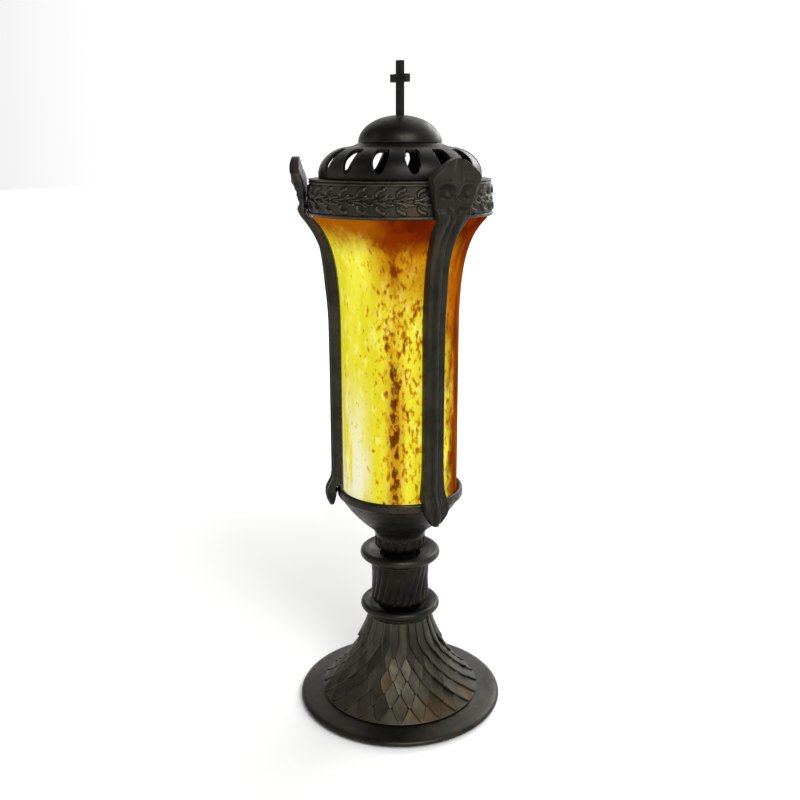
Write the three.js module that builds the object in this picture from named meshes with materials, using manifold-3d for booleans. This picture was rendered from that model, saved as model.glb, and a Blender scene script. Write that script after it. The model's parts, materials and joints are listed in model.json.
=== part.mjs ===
// A standing sanctuary lamp for a seven-day candle.
// Millimetres, +Z up, origin at the centre of the underside, front towards -Y.
import * as THREE from "three";
import { mergeVertices } from "three/addons/utils/BufferGeometryUtils.js";
import Module from "manifold-3d";

const wasm = await Module();
wasm.setup();

// Driving dimensions.
const gap = 0.3; // left between two pieces that rest on each other
const totalHeight = 400;
const baseRadius = 65.5;
const footRadius = 51.6; // outer edge of the trumpet foot
const collarRadius = 25.4;
const drumRadius = 18.4;
const neckRadius = 16.2;
const bowlRadius = 39.4;
const glassRadius = 35.6;
const glassWall = 3;
const bandRadius = 54.4;
const bandTopRadius = 53.1;
const lidRadius = 47.4;
const capRadius = 24.2;
const rodRadius = 5; // M10 tie rod
const tangRadius = 2; // M4 threaded end of the cross
const screwRadius = 1.5; // M3 rib screws
const ribCount = 3;
const ribWidth = 12.3;
const leafWidth = 30.5;
const ventCount = 15;
const candleRadius = 28.5;
const candleHeight = 150;

// Heights of the underside of each piece.
const plateZ = 1.3;
const footZ = 7;
const lowerCollarZ = 59.8;
const drumZ = 68.2;
const upperCollarZ = 96.6;
const neckZ = 105;
const bowlZ = 113.3;
const glassZ = 141.6;
const bandZ = 314.9;
const lidZ = 335.4;
const capZ = 355.1;
const crossZ = 371.5;

const rodBore = rodRadius + gap;
const tangBore = tangRadius + gap;
const ribAngles = Array.from({ length: ribCount }, (_, i) => 60 + (i * 360) / ribCount);

const finish = {
  bronze: { color: 0x1c1a16, roughness: 0.45, metalness: 0.85 },
  black: { color: 0x0d0d0c, roughness: 0.6, metalness: 0.7 },
  steel: { color: 0x8d8e90, roughness: 0.35, metalness: 1 },
  felt: { color: 0x1b2b1e, roughness: 1, metalness: 0 },
  rubber: { color: 0x17171a, roughness: 0.9, metalness: 0 },
  amberGlass: { color: 0xf0c030, roughness: 0.2, metalness: 0, transparent: true, opacity: 0.85 },
  clearGlass: { color: 0xe8eef0, roughness: 0.05, metalness: 0, transparent: true, opacity: 0.35 },
  wax: { color: 0xf2ead2, roughness: 0.6, metalness: 0 },
  wick: { color: 0xcfc6b0, roughness: 1, metalness: 0 },
};

// ---- Solid helpers ----

function solidOf(geometry) {
  const bare = new THREE.BufferGeometry().setAttribute("position", geometry.getAttribute("position"));
  bare.setIndex(geometry.index);
  const merged = mergeVertices(bare, 1e-3);
  const corners = merged.index.array;
  const kept = [];
  for (let i = 0; i < corners.length; i += 3) {
    const [a, b, c] = [corners[i], corners[i + 1], corners[i + 2]];
    if (a !== b && b !== c && c !== a) kept.push(a, b, c);
  }
  return new wasm.Manifold(
    new wasm.Mesh({
      numProp: 3,
      vertProperties: merged.attributes.position.array,
      triVerts: new Uint32Array(kept),
    }),
  );
}

function geometryOf(solid) {
  const mesh = solid.getMesh();
  const geometry = new THREE.BufferGeometry();
  geometry.setAttribute("position", new THREE.BufferAttribute(mesh.vertProperties, 3));
  geometry.setIndex(new THREE.BufferAttribute(mesh.triVerts, 1));
  const flat = geometry.toNonIndexed();
  flat.computeVertexNormals();
  return flat;
}

// An outline in the (radius, height) plane, counter-clockwise, turned about Z.
function turned(path, segments = 32, curveSteps = 3) {
  const points = path.getPoints(curveSteps);
  if (points[0].x > 0 && !points[0].equals(points[points.length - 1])) points.push(points[0].clone());
  return solidOf(new THREE.LatheGeometry(points, segments).rotateX(Math.PI / 2));
}

function ring(inner, outer, low, high, segments) {
  const outline = new THREE.Path().moveTo(inner, low).lineTo(outer, low);
  return turned(outline.lineTo(outer, high).lineTo(inner, high), segments);
}

function rod(radius, low, high, segments = 16) {
  const geometry = new THREE.CylinderGeometry(radius, radius, high - low, segments);
  return solidOf(geometry.rotateX(Math.PI / 2).translate(0, 0, (low + high) / 2));
}

function nut(bore, acrossFlats, low, high) {
  const body = rod(acrossFlats / Math.sqrt(3), low, high, 6);
  return body.subtract(rod(bore, low - 1, high + 1, 16));
}

// A cylinder along the direction of local -Y, the radial direction before a piece is turned.
function radialRod(radius, near, far, z, segments = 12) {
  const geometry = new THREE.CylinderGeometry(radius, radius, far - near, segments);
  return solidOf(geometry.translate(0, -(near + far) / 2, z));
}

// A closed outline in the (radius, height) plane as a slab across the direction of -Y.
function sideSlab(points, width) {
  const shape = new THREE.Shape(points.map(([radius, z]) => new THREE.Vector2(radius, z)));
  const geometry = new THREE.ExtrudeGeometry(shape, { depth: width, bevelEnabled: false });
  geometry.translate(0, 0, -width / 2).rotateX(Math.PI / 2);
  return solidOf(geometry.rotateZ(-Math.PI / 2));
}

// A closed outline in the (x, z) plane extruded along -Y, from radius near to radius far.
function frontSlab(shape, near, far) {
  const geometry = new THREE.ExtrudeGeometry(shape, { depth: far - near, bevelEnabled: false, curveSegments: 3 });
  return solidOf(geometry.rotateX(Math.PI / 2).translate(0, -near, 0));
}

const lamp = new THREE.Group();

function place(name, solid, look, angle = 0) {
  const mesh = new THREE.Mesh(geometryOf(solid), new THREE.MeshStandardMaterial(finish[look]));
  mesh.name = name;
  mesh.rotation.z = THREE.MathUtils.degToRad(angle);
  lamp.add(mesh);
}

// ---- Pedestal ----

const recessRadius = 13; // recess under the base plate, for the nut on the tie rod
const recessTop = 10.8;

function basePlate() {
  const rimHeight = 3.9;
  const bossWall = 3;
  const outline = new THREE.Path()
    .moveTo(rodBore, recessTop)
    .lineTo(recessRadius, recessTop)
    .lineTo(recessRadius, plateZ)
    .lineTo(baseRadius - 1.8, plateZ)
    .quadraticCurveTo(baseRadius, plateZ, baseRadius, plateZ + 1.7)
    .quadraticCurveTo(baseRadius, plateZ + rimHeight - 0.4, baseRadius - 3.6, plateZ + rimHeight)
    .quadraticCurveTo(footRadius + 5, plateZ + 4.6, footRadius - 2, footZ - gap)
    .lineTo(recessRadius + bossWall, footZ - gap)
    .lineTo(recessRadius + bossWall, recessTop + bossWall)
    .lineTo(rodBore, recessTop + bossWall);
  return turned(outline);
}

// The trumpet foot is a hollow casting with a flat top that carries the lower collar.
function trumpetFoot() {
  const top = lowerCollarZ - gap;
  const topRadius = 20;
  const waistRadius = 26.8;
  const waistZ = 27.4;
  const wall = 3.5;
  const outline = new THREE.Path()
    .moveTo(footRadius - wall - 1, footZ)
    .lineTo(footRadius - 0.8, footZ)
    .lineTo(footRadius, footZ + 1.6)
    .quadraticCurveTo(waistRadius, waistZ, topRadius, top)
    .lineTo(rodBore, top)
    .lineTo(rodBore, top - wall)
    .lineTo(topRadius - wall, top - wall)
    .quadraticCurveTo(waistRadius - wall, waistZ - wall / 2, footRadius - wall - 1, footZ + 2);
  return turned(outline);
}

// A collar: a round bead with a dished top and a raised seat in the middle of the dish.
function collar(low, beadZ, beadRadius, underRadius, high) {
  const centre = collarRadius - beadRadius;
  const outline = new THREE.Path()
    .moveTo(rodBore, low)
    .lineTo(underRadius, low)
    .absarc(centre, beadZ, beadRadius, -0.9, Math.PI / 2)
    .lineTo(15, high - 2.4)
    .lineTo(11, high - 2.4)
    .lineTo(11, high)
    .lineTo(rodBore, high);
  return turned(outline);
}

function stemDrum() {
  const low = drumZ;
  const high = upperCollarZ - gap;
  const outline = new THREE.Path()
    .moveTo(rodBore, low)
    .lineTo(drumRadius - 4, low)
    .quadraticCurveTo(drumRadius + 0.2, low + 0.8, drumRadius + 0.2, low + 5)
    .quadraticCurveTo(drumRadius - 0.9, (low + high) / 2, drumRadius + 0.7, high)
    .lineTo(rodBore, high);
  return turned(outline, 24);
}

function neckCup() {
  const low = neckZ;
  const high = bowlZ - gap;
  const outline = new THREE.Path()
    .moveTo(rodBore, low)
    .lineTo(neckRadius - 4, low)
    .quadraticCurveTo(neckRadius, low + 0.6, neckRadius, low + 4.4)
    .lineTo(neckRadius - 0.4, high)
    .lineTo(rodBore, high);
  return turned(outline, 24);
}

// ---- Bowl, glass and band ----

const seatZ = 139.7; // shoulder in the bowl for the glass gasket and the candle plate
const bowlLipZ = 147.5;
const bowlBore = 29;
const bowlFloorZ = 118.6;

function bowl() {
  const outline = new THREE.Path()
    .moveTo(rodBore, bowlZ)
    .lineTo(neckRadius - 0.4, bowlZ)
    .quadraticCurveTo(neckRadius - 0.3, 116.6, 18.8, 119.6)
    .quadraticCurveTo(26.7, 125.8, 33, 134)
    .quadraticCurveTo(36, 138, 37.3, 140.7)
    .quadraticCurveTo(bowlRadius + 0.2, 142.4, bowlRadius, 144.8)
    .quadraticCurveTo(bowlRadius - 0.5, bowlLipZ + 0.2, bowlRadius - 1.6, bowlLipZ - 0.2)
    .lineTo(glassRadius + 1, 145)
    .lineTo(glassRadius + 1, seatZ)
    .lineTo(bowlBore, seatZ)
    .lineTo(bowlBore, 133.4)
    .quadraticCurveTo(22, 123.4, 12, bowlFloorZ)
    .lineTo(rodBore, bowlFloorZ);
  const screwHole = radialRod(screwRadius + gap, 36, 45, footScrewZ).add(radialRod(2.9, 36, 38.3, footScrewZ));
  return turned(outline).subtract(wasm.Manifold.union(ribAngles.map((angle) => screwHole.rotate([0, 0, angle]))));
}

function glassShade() {
  const inner = glassRadius - glassWall;
  const rimZ = 316;
  const outline = new THREE.Path()
    .moveTo(inner, glassZ)
    .lineTo(glassRadius, glassZ)
    .lineTo(glassRadius, 250)
    .bezierCurveTo(glassRadius + 0.3, 285, 39.6, 302, 51, 313)
    .lineTo(51.4, rimZ)
    .lineTo(48.4, rimZ)
    .lineTo(48.3, 314.4)
    .bezierCurveTo(37.2, 304.2, inner + 0.3, 287, inner, 250);
  return turned(outline);
}

// The band stands on the ribs: its wall has a shelf above the glass and a flat lip that carries the lid.
const bandShelfZ = 318.7;
const lipRadius = 44.8; // opening of the lip, for the skirt of the lid

function topBand() {
  const high = lidZ - gap;
  const wall = 2.1;
  const outline = new THREE.Path()
    .moveTo(bandRadius - wall, bandZ)
    .lineTo(bandRadius, bandZ)
    .lineTo(bandRadius + 0.3, bandZ + 1)
    .lineTo(bandRadius - 0.2, bandZ + 2)
    .lineTo(bandTopRadius - 0.1, high - 2.4)
    .lineTo(bandTopRadius + 0.4, high - 1.4)
    .lineTo(bandTopRadius, high)
    .lineTo(lipRadius, high)
    .lineTo(lipRadius, high - 2)
    .lineTo(bandTopRadius - wall, high - 2)
    .lineTo(bandRadius - wall - 0.4, bandShelfZ + 2)
    .lineTo(45.6, bandShelfZ + 2)
    .lineTo(45.6, bandShelfZ)
    .lineTo(bandRadius - wall, bandShelfZ);
  const screwHoles = ribAngles.map((angle) => radialRod(screwRadius + gap, 45, 60, topScrewZ).rotate([0, 0, angle]));
  return turned(outline).subtract(wasm.Manifold.union(screwHoles));
}

// ---- Ribs ----

const topScrewZ = 326;
const footScrewZ = 143;
const ribTopZ = 347.8;
const ribTipZ = 133.6;

// Radius of the rib's outer ridge against height, from the tip of the foot to the tip of the leaf.
const ridgeLine = [
  [44.4, ribTipZ],
  [46.4, 137.5],
  [47.3, 145],
  [45.8, 149],
  [43.4, 152.5],
  [43.1, 205],
  [43.4, 258],
  [45, 272.5],
  [46, 285],
  [47.8, 294.5],
  [50.2, 302.5],
  [54.6, 309.5],
  [59.6, 314.8],
  [60.4, 317.5],
  [59.6, 323],
  [60.2, 328.5],
  [62.7, 336],
  [63.6, 344],
  [62.8, ribTopZ],
];

// Radius of the rib's flat back, which clears the bowl, the glass and the band.
const backLine = [
  [58.4, ribTopZ],
  [57.6, 342],
  [55.3, 334],
  [54.9, 328],
  [54.9, 314.5],
  [51.4, 311.4],
  [47.4, 306.4],
  [43.4, 299.6],
  [40.4, 291],
  [38.6, 280],
  [36.6, 262],
  [36.2, 250],
  [36.2, 150.2],
  [39.9, 147],
  [39.9, 141.5],
  [40.6, 138],
  [41.6, ribTipZ + 1.2],
  [42.2, ribTipZ],
];

function ribFront() {
  const half = ribWidth / 2;
  const leaf = leafWidth / 2;
  const shape = new THREE.Shape();
  shape.moveTo(-1.6, ribTipZ - 1).lineTo(1.6, ribTipZ - 1).lineTo(4.6, ribTipZ + 2.6);
  shape.quadraticCurveTo(8.4, ribTipZ + 8, 8, 147).quadraticCurveTo(half + 0.2, 158, half, 172);
  shape.lineTo(half, 285).quadraticCurveTo(half + 0.4, 300, 9.6, 314);
  shape.lineTo(leaf, 337.6).quadraticCurveTo(9.5, 344.6, 0, ribTopZ);
  shape.quadraticCurveTo(-9.5, 344.6, -leaf, 337.6).lineTo(-9.6, 314);
  shape.quadraticCurveTo(-half - 0.4, 300, -half, 285).lineTo(-half, 172);
  shape.quadraticCurveTo(-half - 0.2, 158, -8, 147).quadraticCurveTo(-8.4, ribTipZ + 8, -4.6, ribTipZ + 2.6);
  return shape;
}

// A flat-backed bar with a raised ridge down its middle, a leaf at the top and a tongue at the foot.
function rib() {
  const ridgeHeight = 1.8;
  const plateLine = ridgeLine.map(([radius, z]) => [radius - ridgeHeight, z]);
  const front = frontSlab(ribFront(), 30, 70);
  const plate = sideSlab([...plateLine, ...backLine], leafWidth + 2);
  const ridge = sideSlab([...ridgeLine, ...backLine], 4);
  const hollows = [-7, 7].map((x) => {
    const ball = new THREE.SphereGeometry(3.4, 8, 6).scale(1, 0.7, 1.3).translate(x, -59.4, 328);
    return solidOf(ball);
  });
  const holes = [
    radialRod(screwRadius + gap, 54, 58.5, topScrewZ),
    radialRod(screwRadius + gap, 36, 43.4, footScrewZ),
  ];
  return plate.add(ridge).intersect(front).subtract(wasm.Manifold.union([...hollows, ...holes]));
}

function ribScrew(headBack, headFront, tip, z) {
  const head = radialRod(2.6, headBack, headFront, z);
  return head.add(radialRod(screwRadius, headFront - 0.5, tip, z, 10));
}

// ---- Lid ----

const domeCentreRadius = 27.4; // the dome is a quarter ellipse that starts here
const domeRise = 15.7;
const domeWall = 2.4;
const domeBaseZ = 337.4;

// A vent is an oval slot up the slope of the dome: level at its lower end, steep at its upper end.
function ventCutter() {
  const middle = { radius: 41, z: 345.3 };
  const slope = THREE.MathUtils.degToRad(47);
  const endY = 9.3;
  const shape = new THREE.Shape();
  shape.moveTo(0, -endY).quadraticCurveTo(3.7, -9.2, 4.4, -5).quadraticCurveTo(5.6, 2.5, 3.4, 8.2);
  shape.lineTo(2.2, endY).lineTo(-2.2, endY).lineTo(-3.4, 8.2);
  shape.quadraticCurveTo(-5.6, 2.5, -4.4, -5).quadraticCurveTo(-3.7, -9.2, 0, -endY);
  const geometry = new THREE.ExtrudeGeometry(shape, { depth: 1, bevelEnabled: false, curveSegments: 3 });
  const corners = geometry.getAttribute("position");
  for (let i = 0; i < corners.count; i++) {
    const along = corners.getY(i);
    const reach = corners.getZ(i) > 0 ? 9 : -5;
    const lean = THREE.MathUtils.degToRad(THREE.MathUtils.mapLinear(along, -endY, endY, 4, 70));
    corners.setY(i, -(middle.radius - along * Math.cos(slope) + reach * Math.cos(lean)));
    corners.setZ(i, middle.z + along * Math.sin(slope) + reach * Math.sin(lean));
  }
  return solidOf(geometry);
}

function lidDome() {
  const outerHalf = lidRadius - domeCentreRadius;
  const innerHalf = outerHalf - domeWall;
  const hubTop = domeBaseZ + domeRise + 0.9;
  const hubWall = 2.2;
  const neckTopRadius = capRadius + 0.3; // the dome curves up to the rim of the cap
  const outline = new THREE.Path()
    .moveTo(42, lidZ - 5.9)
    .lineTo(lipRadius - 0.4, lidZ - 5.9)
    .lineTo(lipRadius - 0.4, lidZ)
    .lineTo(lidRadius, lidZ)
    .lineTo(lidRadius, domeBaseZ)
    .absellipse(domeCentreRadius, domeBaseZ, outerHalf, domeRise, 0, 1.38)
    .quadraticCurveTo(27, domeBaseZ + domeRise - 0.1, neckTopRadius, capZ - gap)
    .lineTo(neckTopRadius - 2, capZ - gap)
    .lineTo(neckTopRadius - 3, hubTop)
    .lineTo(6, hubTop)
    .lineTo(tangBore, hubTop)
    .lineTo(tangBore, hubTop - hubWall)
    .lineTo(6, hubTop - hubWall)
    .absellipse(domeCentreRadius, domeBaseZ, innerHalf, domeRise - domeWall, Math.PI / 2, 0, true)
    .lineTo(42, domeBaseZ);
  const vents = Array.from({ length: ventCount }, (_, i) =>
    ventCutter().rotate([0, 0, ((i + 0.65) * 360) / ventCount]),
  );
  return turned(outline).subtract(wasm.Manifold.union(vents));
}

function upperCap() {
  const wall = 2;
  const rise = crossZ - gap - capZ;
  const outline = new THREE.Path()
    .moveTo(capRadius, capZ)
    .absellipse(0, capZ, capRadius, rise, 0, Math.PI / 2 - 0.1)
    .lineTo(tangBore, crossZ - gap)
    .lineTo(tangBore, crossZ - gap - wall)
    .absellipse(0, capZ, capRadius - wall, rise - wall, Math.PI / 2 - 0.12, 0, true);
  return turned(outline);
}

function crossFinial() {
  const bar = 4.2;
  const thick = 3.2;
  const armSpan = 13.4;
  const armZ = 390.4;
  const armHeight = 4.5;
  const upright = new THREE.BoxGeometry(bar, thick, totalHeight - crossZ);
  const arm = new THREE.BoxGeometry(armSpan, thick, armHeight).translate(0, 0, armZ);
  const body = solidOf(upright.translate(0, 0, (totalHeight + crossZ) / 2)).add(solidOf(arm));
  return body.add(rod(tangRadius, 345.6, crossZ + 0.5, 12).intersect(rod(thick / 2 + 0.39, 340, 380, 12)));
}

// ---- Assembly ----

place("felt_pad", ring(recessRadius + 3, baseRadius - 4, 0, plateZ - gap), "felt");
place("base_plate", basePlate(), "bronze");
place("trumpet_foot", trumpetFoot(), "bronze");
place("lower_collar", collar(lowerCollarZ, 65.4, 3.4, 23, drumZ - gap), "bronze");
place("stem_drum", stemDrum(), "bronze");
place("upper_collar", collar(upperCollarZ, 101.7, 3, 20.4, neckZ - gap), "bronze");
place("neck_cup", neckCup(), "bronze");
place("bowl", bowl(), "bronze");
place("candle_plate", ring(3, 31.4, seatZ + gap, seatZ + 1.8, 24), "steel");
place("lower_gasket", ring(31.9, glassRadius + 0.6, seatZ + gap, glassZ - gap), "rubber");
place("glass_shade", glassShade(), "amberGlass");
place("upper_gasket", ring(46.6, 51.9, 316.3, bandShelfZ - gap), "rubber");
place("top_band", topBand(), "bronze");

place("tie_rod", rod(rodRadius, 1.6, 131, 16), "steel");
place("base_nut", nut(rodBore, 17, 2.2, recessTop - 2.6), "steel");
place("base_washer", ring(rodBore, 11, recessTop - 2.3, recessTop - gap, 20), "steel");
place("bowl_washer", ring(rodBore, 10, bowlFloorZ + gap, bowlFloorZ + 2, 20), "steel");
place("bowl_nut", nut(rodBore, 17, bowlFloorZ + 2.3, bowlFloorZ + 9), "steel");

ribAngles.forEach((angle, i) => {
  place("rib_" + (i + 1), rib(), "bronze", angle);
  place("band_screw_" + (i + 1), ribScrew(49.2, 50.6, 58, topScrewZ), "steel", angle);
  place("foot_screw_" + (i + 1), ribScrew(36.8, 38, 43.1, footScrewZ), "steel", angle);
});

place("lid_dome", lidDome(), "bronze");
place("cap_spacer", ring(tangBore, 5, 354.6, crossZ - 2.8, 16), "steel");
place("upper_cap", upperCap(), "bronze");
place("cross_finial", crossFinial(), "black", -15);
place("finial_washer", ring(tangBore, 5.5, 350.2, 351.5, 16), "steel");
place("finial_nut", nut(tangBore, 7, 346.9, 349.9), "steel");

const jarZ = seatZ + 2.1;
const jarWall = 1.2;
const jarOutline = new THREE.Path()
  .moveTo(0, jarZ)
  .lineTo(candleRadius, jarZ)
  .lineTo(candleRadius, jarZ + candleHeight)
  .lineTo(candleRadius - jarWall, jarZ + candleHeight)
  .lineTo(candleRadius - jarWall, jarZ + 2)
  .lineTo(0, jarZ + 2);
const waxTop = jarZ + candleHeight - 22;
place("candle_jar", turned(jarOutline, 24), "clearGlass");
place("candle_wax", rod(candleRadius - jarWall - gap, jarZ + 2.3, waxTop, 24), "wax");
place("candle_wick", rod(0.9, waxTop + gap, waxTop + 9, 8), "wick");

export default lamp;
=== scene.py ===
import json
import math

import bmesh
import bpy
import numpy as np
from mathutils import Matrix, Vector

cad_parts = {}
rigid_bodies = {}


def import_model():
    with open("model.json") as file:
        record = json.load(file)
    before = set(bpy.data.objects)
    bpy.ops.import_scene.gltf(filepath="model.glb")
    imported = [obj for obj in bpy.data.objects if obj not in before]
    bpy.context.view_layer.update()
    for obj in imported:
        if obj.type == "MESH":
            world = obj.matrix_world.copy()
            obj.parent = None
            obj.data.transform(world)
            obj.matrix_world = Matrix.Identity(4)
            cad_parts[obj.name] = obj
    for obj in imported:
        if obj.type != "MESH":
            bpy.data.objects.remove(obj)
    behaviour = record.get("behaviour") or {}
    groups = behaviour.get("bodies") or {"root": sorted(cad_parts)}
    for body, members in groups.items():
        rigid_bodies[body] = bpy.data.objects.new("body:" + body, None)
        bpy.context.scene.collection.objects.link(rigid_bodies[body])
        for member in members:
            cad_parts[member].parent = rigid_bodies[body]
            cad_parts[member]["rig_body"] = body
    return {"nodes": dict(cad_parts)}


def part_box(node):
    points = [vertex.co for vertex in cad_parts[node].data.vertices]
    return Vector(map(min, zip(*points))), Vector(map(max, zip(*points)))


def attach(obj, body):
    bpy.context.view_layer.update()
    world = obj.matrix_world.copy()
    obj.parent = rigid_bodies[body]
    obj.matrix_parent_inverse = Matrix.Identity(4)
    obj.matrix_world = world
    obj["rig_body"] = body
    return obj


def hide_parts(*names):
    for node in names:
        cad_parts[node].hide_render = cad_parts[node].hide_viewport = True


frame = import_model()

# A standing sanctuary lamp. Shapes are worked out in millimetres, with azimuths in radians from the
# front (-Y) towards +X, and turned into metres when a mesh is made.
MM = 0.001
TURN = 2 * math.pi
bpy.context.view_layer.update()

RIB_AZIMUTHS = [60, 180, 300]
ROD_BORE = 5.3
TANG_BORE = 2.3
VENTS = 15
LAURELS = 30
LAUREL_START = 1 / 3      # how far the first leaf is from the front, as a part of a repeat
SCALES_PER_ROW = 24


# ---- Outlines in the (radius, height) plane ----

def span(node):
    """Lowest and highest height of a turned CAD node, and its radius, in millimetres."""
    low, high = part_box(node)
    return low.z / MM, high.z / MM, high.x / MM


def bezier(controls, t):
    """The point at t, from 0 to 1, of a Bezier curve with any number of control points."""
    points = np.array(controls, float)
    while len(points) > 1:
        points = points[:-1] * (1 - t) + points[1:] * t
    return tuple(points[0])


def bell(value, centre, half):
    """1 at the centre, 0 at half either side, smooth between."""
    return np.clip(1 - ((value - centre) / half) ** 2, 0, 1) ** 2


def smooth_step(value, low, high):
    t = np.clip((value - low) / (high - low), 0, 1)
    return t * t * (3 - 2 * t)


class Outline:
    """Points in the (radius, height) plane, drawn one after another as with a pen."""

    def __init__(self, radius, height):
        self.points = [(radius, height)]

    def line(self, *corners):
        self.points += corners
        return self

    def bend(self, *controls, steps=14):
        """A Bezier curve from the pen through the controls to the last of them."""
        start = self.points[-1]
        self.points += [bezier([start, *controls], i / steps) for i in range(1, steps + 1)]
        return self

    def arc(self, centre, radii, start, stop, steps=16):
        """Part of an ellipse, from one angle to another in degrees."""
        for i in range(steps + 1):
            angle = math.radians(start + (stop - start) * i / steps)
            spot = (centre[0] + radii[0] * math.cos(angle), centre[1] + radii[1] * math.sin(angle))
            if math.dist(spot, self.points[-1]) > 1e-6:
                self.points.append(spot)
        return self


SHARPEST = 25     # degrees by which an outline may turn before rounded() rounds the corner


def rounded(points, radius, closed=True):
    """The outline with each sharp corner made a small round."""
    steps = 3
    spots = [np.array(p, float) for p in points]
    out = []
    for i, corner in enumerate(spots):
        if not closed and i in (0, len(spots) - 1):
            out.append(tuple(corner))
            continue
        before, after = spots[i - 1] - corner, spots[(i + 1) % len(spots)] - corner
        reach_in, reach_out = np.linalg.norm(before), np.linalg.norm(after)
        cosine = np.clip(-before @ after / (reach_in * reach_out), -1, 1)
        if math.degrees(math.acos(cosine)) < SHARPEST:
            out.append(tuple(corner))
            continue
        cut = min(radius, 0.45 * reach_in, 0.45 * reach_out)
        start, stop = corner + before * cut / reach_in, corner + after * cut / reach_out
        out += [bezier([start, corner, stop], k / steps) for k in range(steps + 1)]
    return out


def resampled(points, spacing):
    """The open line with points added so that none are further apart than spacing."""
    out = [points[0]]
    for a, b in zip(points, points[1:]):
        count = max(1, math.ceil(math.dist(a, b) / spacing))
        a, step = np.array(a), np.array(b) - np.array(a)
        out += [tuple(a + step * k / count) for k in range(1, count + 1)]
    return out


def around(azimuth, radius, height):
    """Points in space from azimuths, radii and heights."""
    return np.stack([radius * np.sin(azimuth), -radius * np.cos(azimuth), height], axis=-1)


class Skin:
    """A line in the (radius, height) plane by its length, for what is laid out on a turned surface."""

    def __init__(self, points):
        self.points = np.array(resampled(points, 0.3))
        steps = np.linalg.norm(np.diff(self.points, axis=0), axis=1)
        self.along = np.concatenate([[0], np.cumsum(steps)])
        self.length = self.along[-1]
        slope = np.gradient(self.points, self.along, axis=0)
        self.normals = np.stack([slope[:, 1], -slope[:, 0]], axis=1)
        self.normals /= np.linalg.norm(self.normals, axis=1)[:, None]

    def place(self, azimuth, distance, lift):
        """Points in space at an azimuth and a distance along the line, raised along its normal."""
        radius, height = (np.interp(distance, self.along, self.points[:, k]) for k in (0, 1))
        out_r, out_z = (np.interp(distance, self.along, self.normals[:, k]) for k in (0, 1))
        return around(azimuth, radius + lift * out_r, height + lift * out_z)


# ---- Meshes ----

class Shape:
    """Vertices in millimetres and faces, built up from grids."""

    def __init__(self):
        self.vertices, self.faces = [], []

    def grid(self, points, wrap_rows=False, wrap_columns=False):
        """A grid of points with shape (rows, columns, 3)."""
        rows, columns = points.shape[:2]
        first = len(self.vertices)
        self.vertices += [tuple(p) for p in points.reshape(-1, 3)]
        for i in range(rows if wrap_rows else rows - 1):
            a, b = first + i * columns, first + (i + 1) % rows * columns
            for j in range(columns if wrap_columns else columns - 1):
                k = (j + 1) % columns
                self.faces.append((a + j, b + j, b + k, a + k))
        return self

    def turn(self, points, segments=160, closed=True, spread=None):
        """The outline turned about Z. spread(azimuths, radii, heights) may reshape the grid."""
        outline = np.array(points, float)
        azimuth = np.linspace(0, TURN, segments, endpoint=False)[:, None]
        radius, height = (np.broadcast_to(outline[:, k], (segments, len(outline))) for k in (0, 1))
        if spread:
            radius, height = spread(azimuth, radius, height)
        return self.grid(around(azimuth, radius, height), wrap_rows=True, wrap_columns=closed)

    def add(self, other, matrix):
        first = len(self.vertices)
        self.vertices += [tuple(matrix @ Vector(v)) for v in other.vertices]
        self.faces += [tuple(first + k for k in face) for face in other.faces]
        return self


def mesh_of(name, shape, sharp=38):
    """A clean mesh in metres, smooth but for edges that turn by more than sharp degrees."""
    mesh = bpy.data.meshes.new(name)
    mesh.from_pydata([(x * MM, y * MM, z * MM) for x, y, z in shape.vertices], [], shape.faces)
    work = bmesh.new()
    work.from_mesh(mesh)
    bmesh.ops.remove_doubles(work, verts=work.verts, dist=1e-6)
    bmesh.ops.dissolve_degenerate(work, dist=1e-7, edges=work.edges)
    bmesh.ops.recalc_face_normals(work, faces=work.faces)
    work.to_mesh(mesh)
    work.free()
    mesh.shade_smooth()
    mesh.set_sharp_from_angle(angle=math.radians(sharp))
    return mesh


def stand_for(node, mesh, look):
    """A fine piece in place of a CAD node, on the node's body and with the given material."""
    piece = bpy.data.objects.new(f"{node}_fine", mesh)
    bpy.context.scene.collection.objects.link(piece)
    piece.data.materials.append(look)
    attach(piece, frame["nodes"][node]["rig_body"])
    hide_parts(node)
    return piece


def shaped_piece(node, shape, look, sharp):
    return stand_for(node, mesh_of(node, shape, sharp), look)


def turned_piece(node, outline, look, segments=160, edge=0.35):
    points = rounded(outline.points, edge)
    return stand_for(node, mesh_of(node, Shape().turn(points, segments)), look)


# ---- Materials ----

def tone(red, green, blue):
    """A display colour, 0 to 255, as the linear colour that shaders take."""
    def linear(c):
        c /= 255
        return c / 12.92 if c <= 0.04045 else ((c + 0.055) / 1.055) ** 2.4
    return (linear(red), linear(green), linear(blue), 1)


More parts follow.
